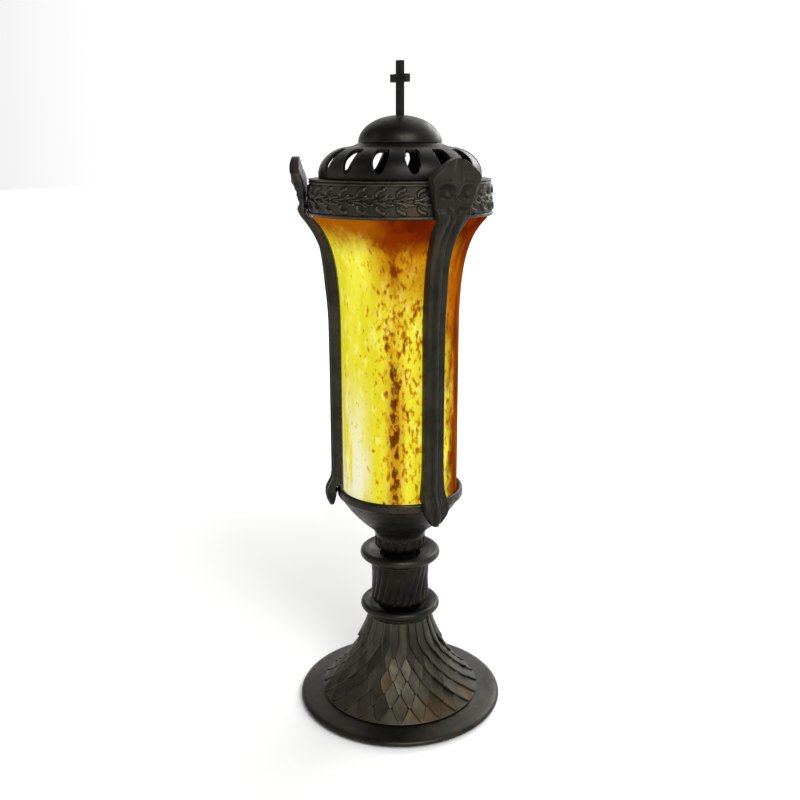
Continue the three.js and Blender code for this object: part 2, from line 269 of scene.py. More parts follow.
class Nodes:
    """Short calls for the nodes of a material or of the world. Textures are read at place."""

    def __init__(self, tree, coordinates):
        self.tree = tree
        self.place = self.node("TexCoord")[coordinates]

    def feed(self, socket, value):
        if isinstance(value, bpy.types.NodeSocket):
            self.tree.links.new(value, socket)
        elif value is not None:
            socket.default_value = value

    def node(self, kind, inputs=(), **settings):
        """The outputs of a new node. Its inputs are given by name or by number."""
        node = self.tree.nodes.new("ShaderNode" + kind)
        for name, value in settings.items():
            setattr(node, name, value)
        for name, value in dict(inputs).items():
            self.feed(node.inputs[name], value)
        return node.outputs

    def noise(self, scale, detail=4, roughness=0.55, place=None, distortion=0):
        inputs = {"Vector": place or self.place, "Scale": scale, "Detail": detail, "Roughness": roughness,
                  "Distortion": distortion}
        return self.node("TexNoise", inputs)["Fac"]

    def stretched(self, *factors):
        return self.node("VectorMath", {0: self.place, 1: factors}, operation="MULTIPLY")[0]

    def separated(self):
        return self.node("SeparateXYZ", {0: self.place})

    def maths(self, operation, *values, clamp=False):
        return self.node("Math", enumerate(values), operation=operation, use_clamp=clamp)[0]

    def plus(self, first, second):
        return self.maths("ADD", first, second)

    def times(self, product, *others):
        for value in others:
            product = self.maths("MULTIPLY", product, value)
        return product

    def most(self, highest, *others):
        for value in others:
            highest = self.maths("MAXIMUM", highest, value)
        return highest

    def spread(self, value, low, high, to_low=0.0, to_high=1.0):
        """The value from low to high as a smooth step from to_low to to_high."""
        ends = (value, low, high, to_low, to_high)
        return self.node("MapRange", enumerate(ends), interpolation_type="SMOOTHSTEP")["Result"]

    def mix(self, factor, first, second):
        return self.node("Mix", {0: factor, 6: first, 7: second}, data_type="RGBA")[2]

    def bump(self, height, distance, strength, under=None):
        inputs = {"Height": height, "Distance": distance, "Strength": strength, "Normal": under}
        return self.node("Bump", inputs)["Normal"]


class Look(Nodes):
    """A material with one Principled shader."""

    def __init__(self, name):
        self.material = bpy.data.materials.new(name)
        self.material.use_nodes = True
        super().__init__(self.material.node_tree, "Object")
        self.shader = self.tree.nodes["Principled BSDF"]

    def put(self, **values):
        for name, value in values.items():
            socket = name.replace("_", " ").title().replace("Ior", "IOR")
            self.feed(self.shader.inputs[socket], value)
        return self.material


def cast_metal(name, dark, light, roughness, grain=0.00005, lumps=0.00012, brown=0.35, wear=0.5,
               worn=(0.515, 0.58), shade_range=(0.485, 0.42), varied=0.0, coat=0.0):
    """Dark patinated casting: cloudy tone, brown where rubbed, lighter edges, painted shade in the hollows.
    worn and the range for the painted shade are ranges of pointiness, 0.5 being flat. varied is how much
    each loose part of a piece has a tone of its own."""
    look = Look(name)
    clouds = look.spread(look.noise(55, detail=6), 0.36, 0.64)
    if varied:
        own = look.times(look.node("NewGeometry")["Random Per Island"], varied)
        clouds = look.plus(own, look.times(clouds, 1 - varied))
    colour = look.mix(clouds, tone(*dark), tone(*light))
    rubbed = look.spread(look.noise(38, 9, 0.62, distortion=0.4), 0.54, 0.68, 0.0, brown)
    colour = look.mix(rubbed, colour, tone(74, 54, 30))
    pointed = look.node("NewGeometry")["Pointiness"]
    edges = look.spread(pointed, *worn, 0.0, wear)
    broken_edges = look.times(edges, look.spread(look.noise(420, detail=5), 0.35, 0.6))
    colour = look.mix(broken_edges, colour, tone(88, 84, 73))
    # Painted shade: hollows, picked by pointiness, darkened nearly to black.
    shade_in_hollows = look.spread(pointed, *shade_range, 0.0, 0.85)
    colour = look.mix(shade_in_hollows, colour, tone(9, 8, 7))
    coarse = look.noise(210, 5, 0.6)
    rough = look.spread(coarse, 0.3, 0.7, roughness - 0.06, roughness + 0.10)
    rough = look.plus(rough, look.times(shade_in_hollows, 0.2))
    rough = look.maths("SUBTRACT", rough, look.times(broken_edges, 0.12), clamp=True)
    normal = look.bump(look.noise(1400, detail=3), grain, 0.8, look.bump(coarse, lumps, 0.7))
    return look.put(base_color=colour, roughness=rough, metallic=0.85, normal=normal, coat_weight=coat,
                    coat_roughness=0.32)


def plated_steel():
    look = Look("plated_steel")
    clouds = look.spread(look.noise(160), 0.3, 0.7)
    colour = look.mix(clouds, tone(150, 151, 152), tone(188, 188, 184))
    stain = look.spread(look.noise(420, detail=6), 0.56, 0.7, 0.0, 0.6)
    colour = look.mix(stain, colour, tone(112, 104, 90))
    brushed = look.noise(900, detail=3, place=look.stretched(1, 1, 0.08))
    return look.put(base_color=colour, roughness=look.spread(brushed, 0.3, 0.7, 0.26, 0.42), metallic=1.0,
                    normal=look.bump(brushed, 0.00003, 0.5))


def pressed_felt():
    look = Look("pressed_felt")
    fibres = look.noise(1500, 6, 0.7, distortion=1.5)
    colour = look.mix(look.spread(fibres, 0.3, 0.7), tone(20, 34, 24), tone(52, 72, 54))
    colour = look.mix(look.spread(look.noise(120), 0.5, 0.75, 0.0, 0.4), colour, tone(70, 80, 66))
    return look.put(base_color=colour, roughness=0.95, normal=look.bump(fibres, 0.0003, 0.9),
                    sheen_weight=0.3)


def black_rubber():
    look = Look("black_rubber")
    grain = look.noise(900, detail=5)
    colour = look.mix(look.spread(grain, 0.3, 0.7), tone(22, 22, 24), tone(42, 42, 44))
    return look.put(base_color=colour, roughness=look.spread(grain, 0.3, 0.7, 0.6, 0.8),
                    normal=look.bump(grain, 0.00005, 0.6))


def azimuth_of(look, x, y, centre):
    """The azimuth from a centre in degrees, between -pi and pi radians, with the cut opposite."""
    turn = math.radians(centre)
    across = look.plus(look.times(x, math.cos(turn)), look.times(y, math.sin(turn)))
    ahead = look.maths("SUBTRACT", look.times(x, math.sin(turn)), look.times(y, math.cos(turn)))
    return look.maths("ARCTAN2", across, ahead)


STREAK = 26       # azimuth of the dark streak in the glass, degrees


def art_glass(name, glow):
    """Opalescent glass with a painted glow: it shines by itself, standing for light from inside, though no
    light is there. Yellow, cream at the lower left, brown flecks round a dark streak, orange at the top and
    reddish brown towards the right. Heights are in metres, and azimuths in radians from the streak."""
    look = Look(name)
    noise, spread, mix = look.noise, look.spread, look.mix
    times, plus, most = look.times, look.plus, look.most
    x, y, height = look.separated()
    azimuth = azimuth_of(look, x, y, STREAK)
    drawn_out = look.stretched(1, 1, 0.5)
    long_drawn = look.stretched(1, 1, 0.12)
    shifted = plus(azimuth, times(plus(noise(45, 3, place=drawn_out), -0.5), 0.3))
    off_streak = look.maths("ABSOLUTE", shifted)
    before_back = spread(shifted, 2.85, 2.2)      # fades out what would end in a seam at the back

    clouds = noise(75, 5, 0.6, drawn_out)
    clouded_height = plus(height, times(clouds, 0.016))
    streaks = spread(noise(60, 5, place=long_drawn), 0.36, 0.62)
    colour = mix(streaks, tone(240, 232, 64), tone(224, 212, 40))
    milky = times(spread(shifted, -0.36, -0.66), spread(height, 0.235, 0.165),
                  spread(noise(150, 5, place=long_drawn), 0.36, 0.52), 0.95)
    colour = mix(milky, colour, tone(240, 236, 204))
    pale = spread(noise(190, place=drawn_out), 0.52, 0.70, 0.0, 0.6)
    colour = mix(pale, colour, tone(250, 245, 128))
    # Painted shade: olive darkening at the glass's left edge in the main view, where it turns away.
    painted_edge_shade = times(spread(shifted, -1.15, -1.7), spread(shifted, -2.9, -2.3, 0.0, 0.45))
    colour = mix(painted_edge_shade, colour, tone(176, 166, 40))

    # Warmer round the streak and to the right of it, the more so the higher.
    halo = times(spread(off_streak, 0.24, 0.02), spread(height, 0.26, 0.2, 0.3, 0.75))
    wash = times(spread(shifted, -0.5, 0.0), spread(clouded_height, 0.256, 0.300), before_back,
                 spread(noise(160, place=drawn_out), 0.36, 0.6, 0.7, 1.0))
    side_wash = times(spread(shifted, 0.62, 0.8), spread(clouded_height, 0.21, 0.29), before_back)
    colour = mix(most(halo, wash, side_wash), colour, tone(182, 108, 8))

    # Flecks, each with an amber rim, crowd about the streak.
    edge_noise = times(noise(110, 5, place=drawn_out), 0.34)
    near_streak = spread(off_streak, 0.40, 0.04)
    high_up = times(spread(plus(shifted, edge_noise), -0.3, 0.08), spread(height, 0.205, 0.25, 0.0, 0.95),
                    spread(shifted, 0.95, 0.55, 0.25, 1.0), before_back)
    to_the_right = times(spread(shifted, -0.6, -0.05, 0.0, 0.55), before_back)
    density = most(near_streak, high_up, to_the_right)
    flecks = plus(noise(430, 2, 0.5, drawn_out), plus(times(density, 0.2), -0.04))
    colour = mix(spread(flecks, 0.565, 0.72, 0.0, 0.85), colour, tone(204, 142, 14))
    colour = mix(spread(flecks, 0.66, 0.84, 0.0, 0.95), colour, tone(122, 54, 5))
    narrow = times(spread(off_streak, 0.13, 0.02), most(spread(height, 0.25, 0.215, 0.3, 1.0),
                                                        spread(clouded_height, 0.272, 0.305, 0.3, 0.8)))
    core_noise = noise(250, 6, 0.62, drawn_out)
    core = times(spread(plus(core_noise, times(narrow, 0.225)), 0.65, 0.76), 0.9)
    colour = mix(core, colour, tone(92, 36, 4))
    thread = times(spread(off_streak, 0.10, 0.0), spread(clouded_height, 0.275, 0.297),
                   spread(core_noise, 0.36, 0.56, 0.3, 0.9))
    colour = mix(thread, colour, tone(126, 52, 4))

    # Orange at the top, and reddish brown there and down the far side.
    ragged_height = plus(clouded_height, times(flecks, 0.008))
    colour = mix(spread(ragged_height, 0.303, 0.323), colour, tone(162, 88, 7))
    ragged_side = plus(shifted, times(edge_noise, 2.0))
    blotches = spread(noise(150, 5, place=long_drawn), 0.34, 0.6)
    side = times(spread(ragged_side, 1.22, 1.5), before_back)
    colour = mix(side, colour, mix(blotches, tone(104, 38, 5), tone(166, 82, 8)))
    crown = times(spread(plus(shifted, edge_noise), -0.22, 0.16), spread(ragged_height, 0.307, 0.3175))
    side_crown = times(spread(ragged_side, 1.3, 1.6), spread(clouded_height, 0.284, 0.306))
    dark_tone = mix(spread(clouds, 0.38, 0.6), tone(96, 27, 2), tone(126, 44, 4))
    colour = mix(times(most(crown, side_crown), before_back), colour, dark_tone)

    # Painted glow: the emission makes the glass shine by itself; no flame or lamp is inside.
    return look.put(base_color=mix(0.84, colour, (0, 0, 0, 1)), emission_color=colour, emission_strength=glow,
                    roughness=spread(noise(500, 3), 0.3, 0.7, 0.26, 0.40), specular_ior_level=0.0,
                    normal=look.bump(noise(95, 3, place=drawn_out), 0.0004, 0.35))


def clear_glass():
    look = Look("candle_glass")
    smears = look.noise(60, detail=5)
    return look.put(base_color=tone(242, 248, 246), roughness=look.spread(smears, 0.4, 0.7, 0.03, 0.12),
                    normal=look.bump(smears, 0.0002, 0.2), transmission_weight=0.92, ior=1.46)


def candle_wax():
    look = Look("candle_wax")
    clouds = look.noise(90, detail=5)
    colour = look.mix(look.spread(clouds, 0.3, 0.7), tone(240, 229, 200), tone(250, 243, 222))
    return look.put(base_color=colour, roughness=look.spread(look.noise(300), 0.3, 0.7, 0.38, 0.55),
                    normal=look.bump(clouds, 0.0004, 0.4), subsurface_weight=0.3, subsurface_scale=0.004)


def braided_cotton(low, high):
    """Cotton between two heights in metres, burnt at its upper end."""
    look = Look("braided_cotton")
    weave = look.node("TexVoronoi", {"Vector": look.stretched(1, 1, 0.5), "Scale": 1800})["Distance"]
    colour = look.mix(look.spread(weave, 0.1, 0.6), tone(214, 202, 176), tone(150, 136, 110))
    burnt = look.spread(look.separated()[2], low + (high - low) * 0.55, low + (high - low) * 0.8)
    return look.put(base_color=look.mix(burnt, colour, tone(18, 16, 15)), roughness=0.95,
                    normal=look.bump(weave, 0.0002, 0.8))


charcoal = cast_metal("cast_bronze", (20, 18, 13), (36, 33, 25), 0.44, coat=0.15)
# Painted shade also darkens the grooves between the scales, over a wider range of pointiness.
scaled_metal = cast_metal("scaled_bronze", (22, 21, 16), (72, 69, 57), 0.45, brown=0.7, wear=0.16,
                          shade_range=(0.492, 0.455), varied=0.72)
# Painted shade: a darker copy of the bronze for the stem drum and neck cup, which lie in shadow under the
# bowl.
shaded_fluted_metal = cast_metal("shaded_fluted_bronze", (15, 13, 10), (28, 25, 19), 0.46, brown=0.6, wear=0.9)
relief_metal = cast_metal("relief_bronze", (33, 32, 26), (48, 46, 38), 0.46, wear=0.55, worn=(0.505, 0.55))
# The rib's hollows get painted shade over a wider range too.
rib_metal = cast_metal("rib_bronze", (28, 27, 21), (41, 39, 31), 0.46, brown=0.15, wear=0.4,
                       shade_range=(0.495, 0.45))
polished_metal = cast_metal("polished_bronze", (14, 12, 8), (25, 22, 16), 0.47, grain=0.00002, lumps=0.00005,
                            coat=0.15)
base_metal = cast_metal("base_bronze", (26, 23, 17), (40, 37, 28), 0.40, grain=0.00002, lumps=0.00004,
                        brown=0.5, coat=0.15)
# Near-black bronze for painted shade, on faces that lie in shadow.
painted_shade_black = cast_metal("painted_shade_black", (5, 5, 4), (10, 9, 8), 0.8, brown=0.0, wear=0.0)
black_metal = cast_metal("black_iron", (16, 16, 14), (26, 25, 22), 0.58, brown=0.1, wear=0.4)
steel = plated_steel()
felt = pressed_felt()
rubber = black_rubber()
# Painted glow on both faces of the glass, weaker on the inner one.
lit_glass = art_glass("art_glass_outer", 0.84)
inner_glass = art_glass("art_glass_inner", 0.15)


# ---- Camera, floor and light ----

CAMERA_AZIMUTH = math.radians(30)
CAMERA_DISTANCE = 0.5752      # from the lamp's axis
CAMERA_HEIGHT = 0.3558
AIM_HEIGHT = 0.2017
LIGHT_HEIGHT = 0.2            # the height on the lamp's axis that the lights face
WHITE = (1, 1, 1, 1)
FLOOR_HALF = 6.0
BRIGHTEST = math.radians(170)      # azimuth of the brightest part of the surroundings


def facing(name, data, location, target_height):
    """A camera or light that faces the lamp's axis at a height."""
    thing = bpy.data.objects.new(name, data)
    bpy.context.scene.collection.objects.link(thing)
    thing.location = location
    direction = Vector((0, 0, target_height)) - thing.location
    thing.rotation_euler = direction.to_track_quat("-Z", "Y").to_euler()
    return thing


def camera():
    data = bpy.data.cameras.new("camera")
    data.angle = math.radians(45)
    location = (CAMERA_DISTANCE * math.sin(CAMERA_AZIMUTH), -CAMERA_DISTANCE * math.cos(CAMERA_AZIMUTH),
                CAMERA_HEIGHT)
    bpy.context.scene.camera = facing("camera", data, location, AIM_HEIGHT)
    bpy.context.scene.view_settings.view_transform = "Standard"


def softbox(name, azimuth, elevation, distance, size, power):
    """A light with its direction in degrees, its distance and size in metres and its power in watts."""
    light = bpy.data.lights.new(name, "AREA")
    light.shape = "RECTANGLE"
    light.size, light.size_y = size
    light.energy = power
    a, e = math.radians(azimuth), math.radians(elevation)
    direction = Vector((math.sin(a) * math.cos(e), -math.cos(a) * math.cos(e), math.sin(e)))
    facing(name, light, Vector((0, 0, LIGHT_HEIGHT)) + distance * direction, LIGHT_HEIGHT)


def paper_floor():
    """Pale paper that shines a little by itself away from the lamp."""
    mesh = bpy.data.meshes.new("floor")
    half = FLOOR_HALF
    corners = [(-half, -half, 0), (half, -half, 0), (half, half, 0), (-half, half, 0)]
    mesh.from_pydata(corners, [], [(0, 1, 2, 3)])
    paper = Look("paper")
    x, y, _ = paper.separated()
    away = paper.maths("SQRT", paper.plus(paper.times(x, x), paper.times(y, y)))
    colour = paper.mix(paper.noise(3, detail=2), (0.90, 0.90, 0.89, 1), (0.93, 0.93, 0.92, 1))
    paper.put(base_color=colour, roughness=0.9, specular_ior_level=0.1, emission_color=WHITE,
              emission_strength=paper.spread(away, 0.15, 0.9, 0.04, 0.8))
    floor = bpy.data.objects.new("floor", mesh)
    bpy.context.scene.collection.objects.link(floor)
    floor.data.materials.append(paper.material)


def surroundings():
    """White behind the lamp, most of all on the right, and greyer in front of it, except for a pale
    band all round above the horizon, the background of the other views."""
    world = bpy.data.worlds.new("studio")
    bpy.context.scene.world = world
    world.use_nodes = True
    sky = Nodes(world.node_tree, "Generated")
    brightest = (math.sin(BRIGHTEST), -math.cos(BRIGHTEST), 0)
    behind = sky.node("VectorMath", {0: sky.place, 1: brightest}, operation="DOT_PRODUCT")["Value"]
    band = sky.spread(sky.separated()[2], 0.19, 0.28, 0.8, 0.0)
    background = world.node_tree.nodes["Background"].inputs
    sky.feed(background["Color"], WHITE)
    sky.feed(background["Strength"], sky.most(sky.spread(behind, -0.1, 0.75, 0.12, 1.15), band))


camera()
paper_floor()
surroundings()
softbox("key_light", 50, 38, 1.3, (0.8, 0.8), 17)
softbox("left_light", -50, 30, 1.4, (0.6, 0.9), 2)
softbox("back_light", 172, 27, 1.4, (0.8, 0.6), 8)


# ---- Pedestal ----

def base_plate():
    """A round plate with a rolled rim, and a recess under its middle for the nut."""
    low, _, radius = span("base_plate")
    foot_low, _, foot_radius = span("trumpet_foot")
    recess_radius, recess_top, boss_radius, boss_top = 13, 10.8, 16, 13.8
    top = foot_low - 0.3
    outline = Outline(ROD_BORE, recess_top).line((recess_radius, recess_top), (recess_radius, low),
                                                 (radius - 1.8, low))
    outline.bend((radius, low), (radius, low + 1.6), steps=8)
    outline.bend((radius, low + 3.1), (radius - 2.4, low + 3.75), steps=10)
    outline.bend((radius - 3.6, low + 4.0), (radius - 6, low + 4.25), steps=6)
    outline.bend((foot_radius + 3, low + 4.7), (foot_radius - 2, top), steps=12)
    outline.line((boss_radius, top), (boss_radius, boss_top), (ROD_BORE, boss_top))
    turned_piece("base_plate", outline, base_metal, segments=256)


def scale_rows(skin, tips, heads, tip_lift, rows=16, reach=2.1, taper=0.3, round_from=0.86, seed=3):
    """Overlapping pointed scales on a turned skin. tips are distances along the skin, lowest first,
    and heads are where the scales of each row end. reach is a scale's length over that of its point,
    taper is how much narrower its head is than its shoulders, and its rim is round from round_from of
    the way to its side. Every scale is a little different, is dished like a spoon, and stands higher
    on its left side than on its right."""
    shape = Shape()
    chance = np.random.default_rng(seed)
    columns = 11
    across = np.sin(np.linspace(-1, 1, columns) * math.pi / 2)
    v = np.linspace(0, 1, rows) ** 1.1
    shoulder = 1 / reach
    point = 0.05 + 0.95 * (v / shoulder) ** 0.9
    width = np.where(v < shoulder, point, 1 - taper * (v - shoulder) / (1 - shoulder))
    rim = -0.9 * smooth_step(np.abs(across), round_from, 1.0) ** 1.5
    root = 0.12 if round_from > 0.5 else 0.75
    for row, (tip, head) in enumerate(zip(tips, heads)):
        for i in range(SCALES_PER_ROW):
            lean, tilt, size, sway = chance.uniform(-1, 1, 4)
            centre = (i + row % 2 / 2 + 0.02 * sway) * TURN / SCALES_PER_ROW
            start = tip + 0.35 * size
            off = np.outer(width, across) + 0.05 * lean * (1 - v)[:, None]
            azimuth = centre + off * TURN / SCALES_PER_ROW / 2 * 0.99      # a hair narrower than the pitch
            distance = start + np.outer(v, np.ones(columns)) * (head - start)
            rise = tip_lift * (1 + 0.25 * lean) * (1 - v) ** 1.25 + root
            dish = 0.3 * np.abs(across) ** 2.4 - (0.3 + 0.45 * tilt) * across
            lift = rise[:, None] + (dish + rim)[None, :] * np.clip(width * 1.3, 0, 1)[:, None]
            lift[0] -= 0.3
            sides = [skin.place(azimuth, distance, level) for level in (lift, np.full_like(lift, -0.35))]
            for side in sides:
                shape.grid(side)
            rims = [np.concatenate([g[:, 0], g[-1, 1:], g[::-1, -1][1:], g[0, ::-1][1:-1]]) for g in sides]
            shape.grid(np.stack(rims), wrap_columns=True)
    return shape


def trumpet_foot():
    """A hollow flared foot, covered in rows of scales that point down over the row below."""
    low, top, _ = span("trumpet_foot")
    radius, top_radius, wall = 51, 19.4, 3
    waist = (26, 27)
    side = [bezier([(radius, low + 0.6), waist, (top_radius, top)], i / 60) for i in range(61)]
    outline = Outline(radius - wall - 1, low).line((radius - 0.4, low), (radius + 0.05, low + 0.3))
    outline.line(*side).line((ROD_BORE, top), (ROD_BORE, top - wall), (top_radius - wall, top - wall))
    outline.bend((waist[0] - wall, waist[1] - wall / 2), (radius - wall - 1, low + 2), steps=30)
    shape = Shape().turn(rounded(outline.points, 0.3), 192)
    skin = Skin(side)
    end = skin.length - 0.3
    tips = [0.3, 9.2, 17.8, 25.8, 33.0, 39.6]
    heads = [19.6, 27.6, 34.8, 42.0, end, end]
    shape.add(scale_rows(skin, tips[:1], heads[:1], 0.9), Matrix.Identity(4))
    half_turn = Matrix.Rotation(TURN / SCALES_PER_ROW / 2, 4, "Z")
    shape.add(scale_rows(skin, tips[1:4], heads[1:4], 1.5, seed=4), half_turn)
    shape.add(scale_rows(skin, tips[4:5], heads[4:5], 1.2, rows=20, reach=3.2), Matrix.Identity(4))
    upright = scale_rows(skin, tips[5:], heads[5:], 1.4, rows=20, reach=2.4, taper=0.05, round_from=0.45,
                         seed=5)
    shape.add(upright, half_turn)
    shaped_piece("trumpet_foot", shape, scaled_metal, sharp=30)


def collar(node, bead_height, bead_radius, hole, foot):
    """A flange with a beaded rim, whose top slopes down to a deep hole round the stem. hole and foot
    are (radius, height) of the hole's edge and (radius, rise) of the small round under the bead."""
    low, top, radius = span(node)
    (hole_radius, hole_height), (foot_radius, foot_rise) = hole, foot
    hole_floor = hole_height - 3.5
    centre, bead_top = radius - bead_radius, bead_height + bead_radius
    outline = Outline(ROD_BORE, low).line((foot_radius - 1.5, low))
    outline.bend((foot_radius, low), (foot_radius, low + foot_rise), steps=8)
    outline.bend((foot_radius, low + foot_rise + 0.5), (foot_radius + 0.8, low + foot_rise + 0.7), steps=6)
    outline.arc((centre, bead_height), (bead_radius, bead_radius), -60, 80, steps=28)
    outline.bend((centre - 1.2, bead_top - 0.1), (centre - 3.2, bead_top - 1.0), steps=10)
    outline.bend((hole_radius + 2, hole_height + 0.7), hole, steps=8)
    outline.line((hole_radius - 0.3, hole_floor), (10, hole_floor), (10, top), (ROD_BORE, top))
    piece = turned_piece(node, outline, charcoal, segments=192, edge=0.25)
    # Painted shade: the faces inside the hole round the stem get the near-black material.
    piece.data.materials.append(painted_shade_black)
    for face in piece.data.polygons:
        x, y, z = face.center
        if math.hypot(x, y) < (hole_radius - 0.02) * MM and z > (hole_height - 3.6) * MM:
            face.material_index = 1


def relief_piece(node, head, side, tail, relief, segments):
    """A turned piece whose side carries a relief, given by azimuth and by height in millimetres.
    The outline is head, side and tail, in that order."""
    side = resampled(side, 0.35)
    head, tail = (rounded(part, 0.25, closed=False) for part in (head, tail))
    first, last = len(head), len(head) + len(side)
    skin = Skin(side)
    heights = [point[1] for point in side]
    normals = np.stack([np.interp(heights, skin.points[:, 1], skin.normals[:, k]) for k in (0, 1)])

    def raised(azimuth, radius, height):
        lift, across, up = (np.zeros(radius.shape) for _ in range(3))
        lift[:, first:last] = relief(azimuth, height[:, first:last])
        across[:, first:last], up[:, first:last] = normals
        return radius + lift * across, height + lift * up

    shape = Shape().turn([*head, *side, *tail], segments, spread=raised)
    shaped_piece(node, shape, shaded_fluted_metal, sharp=50)


def stem_drum():
    """Rounded flutes that lean to the right, deepest at the bottom, where each ends in a round."""
    low, high, _ = span("stem_drum")
    radius, flutes, twist = 18.3, 24, math.radians(24)
    side = Outline(radius - 2.6, low + 0.2).bend((radius, low + 0.5), (radius + 0.1, low + 4.5), steps=12)
    side.bend((radius - 1.1, (low + high) / 2), (radius + 0.5, high), steps=24)

    def flute(azimuth, height):
        along = (height - low) / (high - low)
        phase = (azimuth - twist * along) * flutes / TURN
        wave = np.abs(np.sin(phase * math.pi)) ** 0.75
        depth = 1.15 - 0.85 * smooth_step(along, 0.2, 1.0)
        return depth * (wave - 0.75) * smooth_step(along, 0.05, 0.16)

    head, tail = [(ROD_BORE, low), (radius - 3.2, low)], [(radius - 1, high), (ROD_BORE, high)]
    relief_piece("stem_drum", head, side.points, tail, flute, flutes * 14)


def neck_cup():
    """Upright pointed leaves round a cup, with a plain band above them."""
    low, high, radius = span("neck_cup")
    leaves = 18
    wall = radius - 0.35
    side = Outline(radius - 3.4, low + 0.2).bend((radius - 0.2, low + 0.4), (wall, low + 4.2), steps=12)
    side.line((wall, high))

    def leaf(azimuth, height):
        along = np.clip((height - low - 0.8) / 8.2, 0, 1)
        off = np.abs((azimuth * leaves / TURN) % 1 - 0.5) * 2
        half = np.clip(1.0 - along ** 2.2, 0.02, 1)
        return 1.2 * np.sqrt(np.clip(1 - (off / half) ** 2, 0, 1)) * smooth_step(along, 0.02, 0.16) - 0.85

    head, tail = [(ROD_BORE, low), (radius - 4, low)], [(radius - 1.5, high), (ROD_BORE, high)]
    relief_piece("neck_cup", head, side.points, tail, leaf, leaves * 16)


base_plate()
trumpet_foot()
collar("lower_collar", 65.9, 2.6, (13.8, 64.3), (20.8, 1.7))
collar("upper_collar", 101.7, 2.9, (13.0, 100.6), (18.6, 0.8))
stem_drum()
neck_cup()


# ---- Bowl, glass and band ----

SEAT = 139.7      # shoulder in the bowl, under the glass and the candle plate
GLASS_RADIUS = 35.6


def bowl():
    """A cup with a beaded lip, with a seat inside for the glass and a well under the candle plate."""
    low, lip, radius = span("bowl")
    outline = Outline(ROD_BORE, low).line((15.8, low)).bend((15.9, low + 3.3), (18.8, low + 6.3), steps=12)
    outline.bend((26.7, low + 12.5), (33, low + 20.7), steps=18)
    outline.bend((36, low + 24.7), (37.3, low + 27.2), steps=8)
    outline.bend((37.9, low + 28.1), (38.9, low + 28.5), steps=6)
    outline.bend((radius + 0.05, low + 28.9), (radius, low + 31.4), steps=10)
    outline.bend((radius - 0.1, lip + 0.1), (radius - 1.8, lip - 0.05), steps=10)
    outline.line((GLASS_RADIUS + 0.4, lip - 0.9), (GLASS_RADIUS + 0.4, SEAT), (29, SEAT), (29, 133.4))
    outline.bend((22, 123.4), (12, low + 5.3), steps=12).line((ROD_BORE, low + 5.3))
    turned_piece("bowl", outline, charcoal, segments=192)


def glass_outline():
    """The section of the glass: a straight tube that flares out at the top."""
    low, top, _ = span("glass_shade")
    wall = 3
    inner = GLASS_RADIUS - wall
    outer = Outline(inner, low).line((GLASS_RADIUS, low), (GLASS_RADIUS, 190), (GLASS_RADIUS, 250))
    outer.bend((GLASS_RADIUS + 0.3, 285), (39.6, 302), (51, 313), steps=48)
    outer.line((51.4, top), (48.4, top), (48.3, 314.4))
    outer.bend((37.2, 304.2), (inner + 0.3, 287), (inner, 250), steps=48)
    return outer


def glass_shade():
    points = resampled(rounded(glass_outline().points, 0.5), 3.0)
    piece = shaped_piece("glass_shade", Shape().turn(points, 192), lit_glass, sharp=50)
    piece.data.materials.append(inner_glass)
    for face in piece.data.polygons:
        outward = Vector((face.center.x, face.center.y, 0)).normalized()
        if face.normal.dot(outward) < 0.1:
            face.material_index = 1


def distance_to_line(across, up, line):
    """How far each point of a grid is from a line of points, and how far along it the nearest is."""
    spots = np.array(line)
    gaps = np.hypot(across[..., None] - spots[:, 0], up[..., None] - spots[:, 1])
    nearest = gaps.argmin(axis=-1)
    return gaps.min(axis=-1), nearest / (len(spots) - 1)


def laurel_height(across, up, pitch):
    """Raised strokes of one laurel repeat: two pairs of shoots from the stem and a leaf each side."""
    strokes = [([(0.5, 3.0), (0.2, 5.2), (4.3, 6.2)], 1.4, 1.35),
               ([(-1.5, 0.5), (2.2, 0.4), (5.5, 2.6)], 0.95, 1.0),
               ([(4.2, 0.5), (6.5, 2.2), (9.2, 1.8)], 0.95, 1.0)]
    height = np.zeros(across.shape)
    for controls, width, rise in strokes:
        line = [bezier(controls, i / 16) for i in range(17)]
        for side in (1, -1):
            for shift in (-pitch, 0, pitch):
                gap, along = distance_to_line(across - shift, side * up, line)
                taper = width * (0.7 + 0.3 * smooth_step(along, 0, 0.5))
                height = np.maximum(height, rise * np.clip(1 - (gap / taper) ** 2, 0, 1) ** 0.75)
    return height


